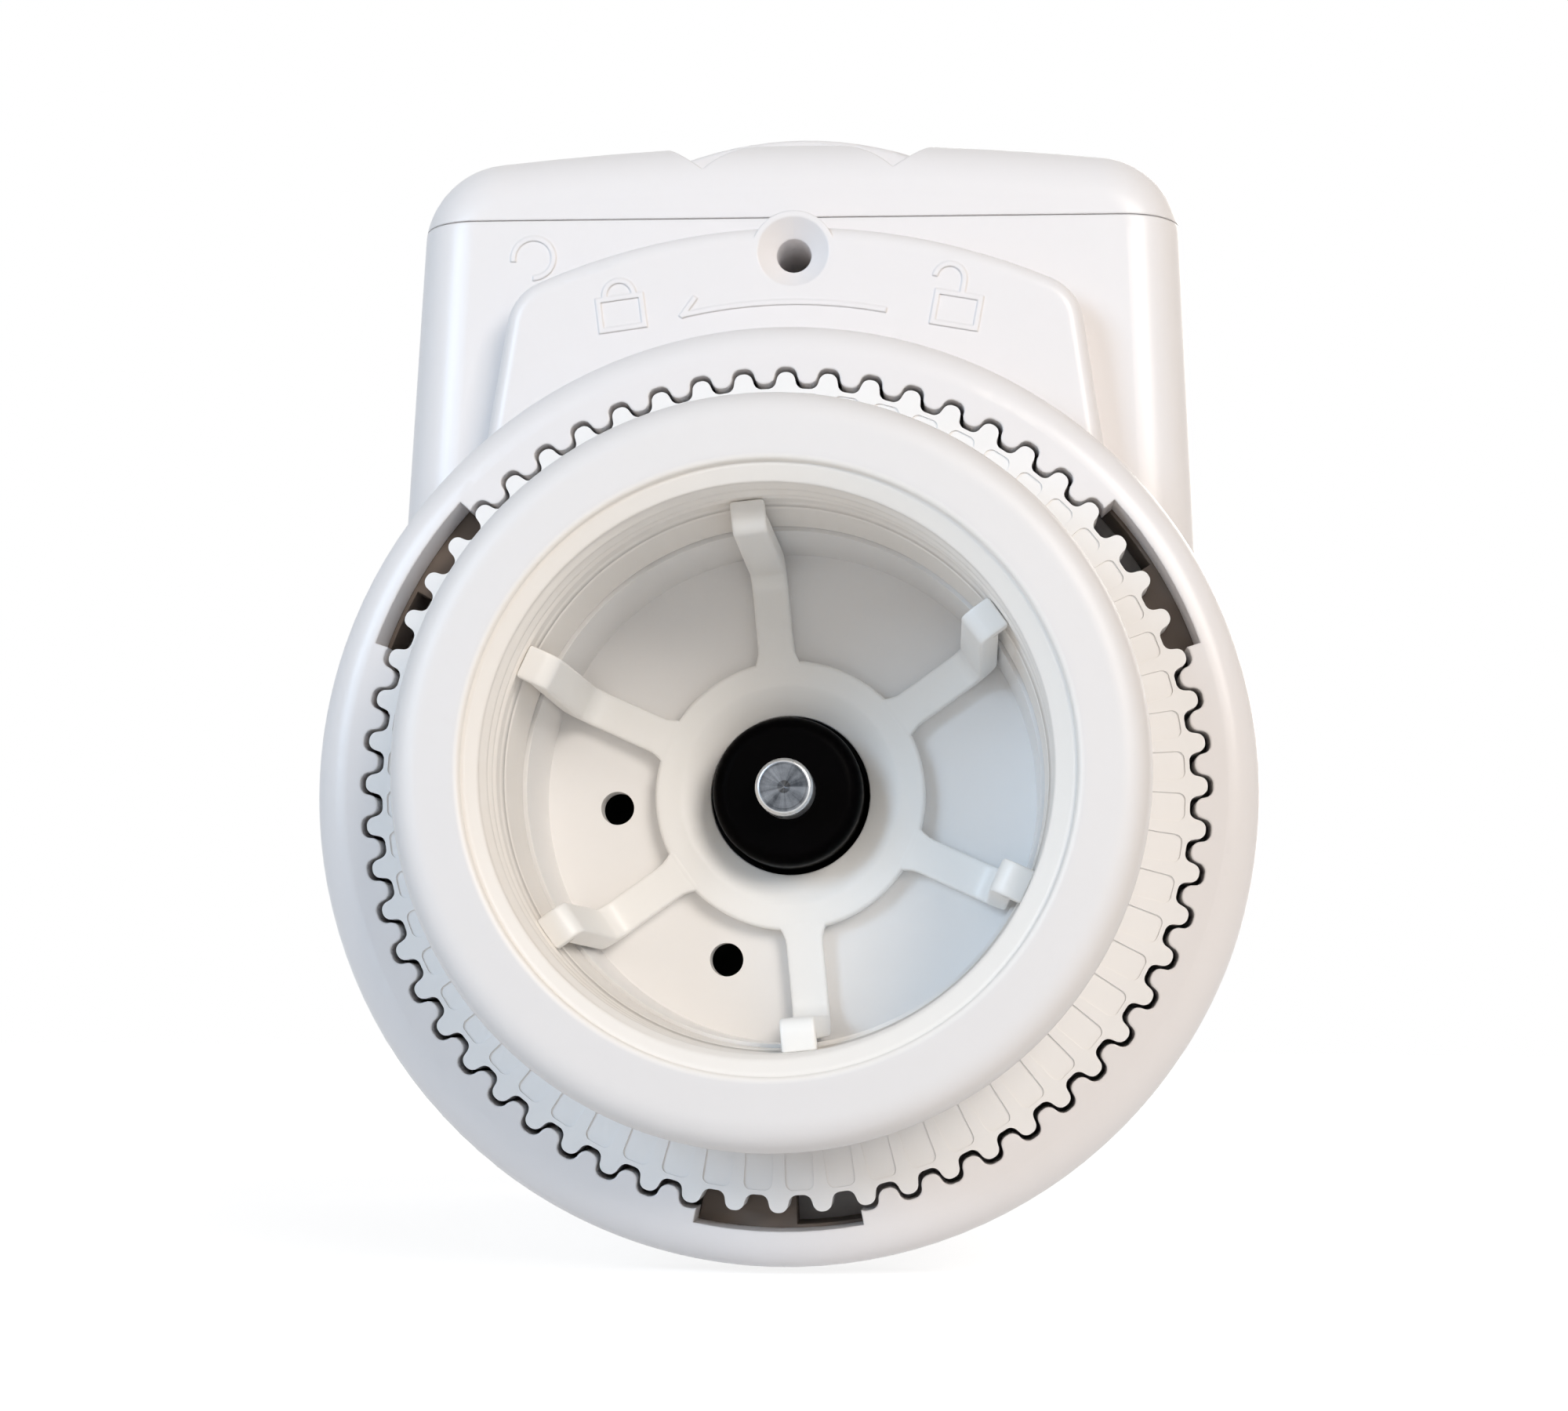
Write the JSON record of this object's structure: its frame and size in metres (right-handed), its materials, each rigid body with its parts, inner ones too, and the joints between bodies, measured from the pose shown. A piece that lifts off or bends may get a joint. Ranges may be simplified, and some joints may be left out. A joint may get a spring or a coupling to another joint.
{
  "type": "motorised radiator valve actuator head",
  "caption": "Battery-powered motorised actuator head for a radiator valve, with union nut, toothed bayonet adapter, lock ring, display and geared plunger.",
  "frame": {"origin": "on the valve axis at the first full turn of the union nut's thread", "axes": "+Y from the valve to the display along the valve axis, +Z towards the battery cover, +X to the right when looking along +Y"},
  "size_m": [0.0515, 0.0886, 0.0663],
  "materials": {
    "white_shell": "satin moulded ABS",
    "white_nut": "satin moulded plastic",
    "white_carrier": "satin moulded plastic",
    "natural_nylon": "natural moulded nylon",
    "black_plastic": "satin black",
    "steel": "turned",
    "brass": "turned",
    "gear_plastic": "natural acetal",
    "frame_plastic": "glass-filled nylon",
    "display_glass": "clear acrylic",
    "lcd": "reflective display",
    "board": "solder mask",
    "chip": "moulded epoxy",
    "tin": "tinned",
    "cell_jacket": "printed sleeve",
    "button_grey": "satin moulded plastic"
  },
  "bodies": {
    "head": {"mounting_base": "white_shell", "base_screws": "steel", "main_housing": "white_shell", "front_fascia": "white_shell", "display_window": "display_glass", "lcd_module": "lcd", "backlight_frame": "white_carrier", "circuit_board": "board", "board_chips": "chip", "radio_module": "tin", "tact_switches": "chip", "temperature_sensor": "chip", "battery_left": "cell_jacket", "battery_right": "cell_jacket", "battery_tray": "white_carrier", "contact_plates": "tin", "contact_springs": "tin", "thrust_washer": "steel", "motor_can": "tin", "motor_terminals": "brass", "axle_pins": "steel", "drive_frame": "frame_plastic", "gear_plate": "frame_plastic", "drive_screws": "steel"},
    "adapter": {"toothed_carrier": "white_carrier", "retaining_spider": "natural_nylon"},
    "nut": {"union_nut": "white_nut"},
    "lock": {"lock_ring": "white_carrier"},
    "cover": {"battery_cover": "white_shell"},
    "plunger": {"plunger_cap": "black_plastic", "plunger_pin": "steel"},
    "spindle": {"spindle": "brass", "output_gear": "gear_plastic"},
    "second_gear": {"second_gear": "gear_plastic"},
    "first_gear": {"first_gear": "gear_plastic"},
    "motor_rotor": {"motor_pinion": "brass", "motor_shaft": "steel"},
    "minus_key": {"minus_button": "button_grey"},
    "menu_key": {"menu_button": "button_grey"},
    "plus_key": {"plus_button": "button_grey"}
  },
  "joints": [
    {"name": "adapter_slide", "type": "slide", "parent": "head", "child": "adapter", "axis": [0, -1, 0], "range_m": [0, 0.022]},
    {"name": "nut_spin", "type": "hinge", "parent": "adapter", "child": "nut", "pos_m": [0, 0.004, 0], "axis": [0, -1, 0], "continuous": true},
    {"name": "lock_ring_turn", "type": "hinge", "parent": "head", "child": "lock", "pos_m": [0, 0.0155, 0], "axis": [0, -1, 0], "range_deg": [0, 24]},
    {"name": "battery_cover_slide", "type": "slide", "parent": "head", "child": "cover", "axis": [0, 1, 0], "range_m": [0, 0.03]},
    {"name": "plunger_travel", "type": "slide", "parent": "head", "child": "plunger", "axis": [0, -1, 0], "range_m": [0, 0.0045]},
    {"name": "spindle_spin", "type": "hinge", "parent": "head", "child": "spindle", "pos_m": [0, 0.04, 0], "axis": [0, -1, 0], "range_deg": [0, 1080]},
    {"name": "second_gear_spin", "type": "hinge", "parent": "head", "child": "second_gear", "pos_m": [0.00849, 0.042, -0.00849], "axis": [0, -1, 0], "range_deg": [-3240, 0]},
    {"name": "first_gear_spin", "type": "hinge", "parent": "head", "child": "first_gear", "pos_m": [-0.00138, 0.046, -0.01208], "axis": [0, -1, 0], "range_deg": [0, 8100]},
    {"name": "motor_spin", "type": "hinge", "parent": "head", "child": "motor_rotor", "pos_m": [-0.01125, 0.048, -0.00849], "axis": [0, -1, 0], "range_deg": [-20250, 0]},
    {"name": "minus_press", "type": "slide", "parent": "head", "child": "minus_key", "axis": [0, -1, 0], "range_m": [0, 0.0007], "stiffness_N_per_m": 300},
    {"name": "menu_press", "type": "slide", "parent": "head", "child": "menu_key", "axis": [0, -1, 0], "range_m": [0, 0.0007], "stiffness_N_per_m": 300},
    {"name": "plus_press", "type": "slide", "parent": "head", "child": "plus_key", "axis": [0, -1, 0], "range_m": [0, 0.0007], "stiffness_N_per_m": 300}
  ],
  "couplings": [
    {"joint": "plunger_travel", "follows": "spindle_spin", "m_per_rad": 0.00023873},
    {"joint": "second_gear_spin", "follows": "spindle_spin", "ratio": -3},
    {"joint": "first_gear_spin", "follows": "spindle_spin", "ratio": 7.5},
    {"joint": "motor_spin", "follows": "spindle_spin", "ratio": -18.75}
  ]
}
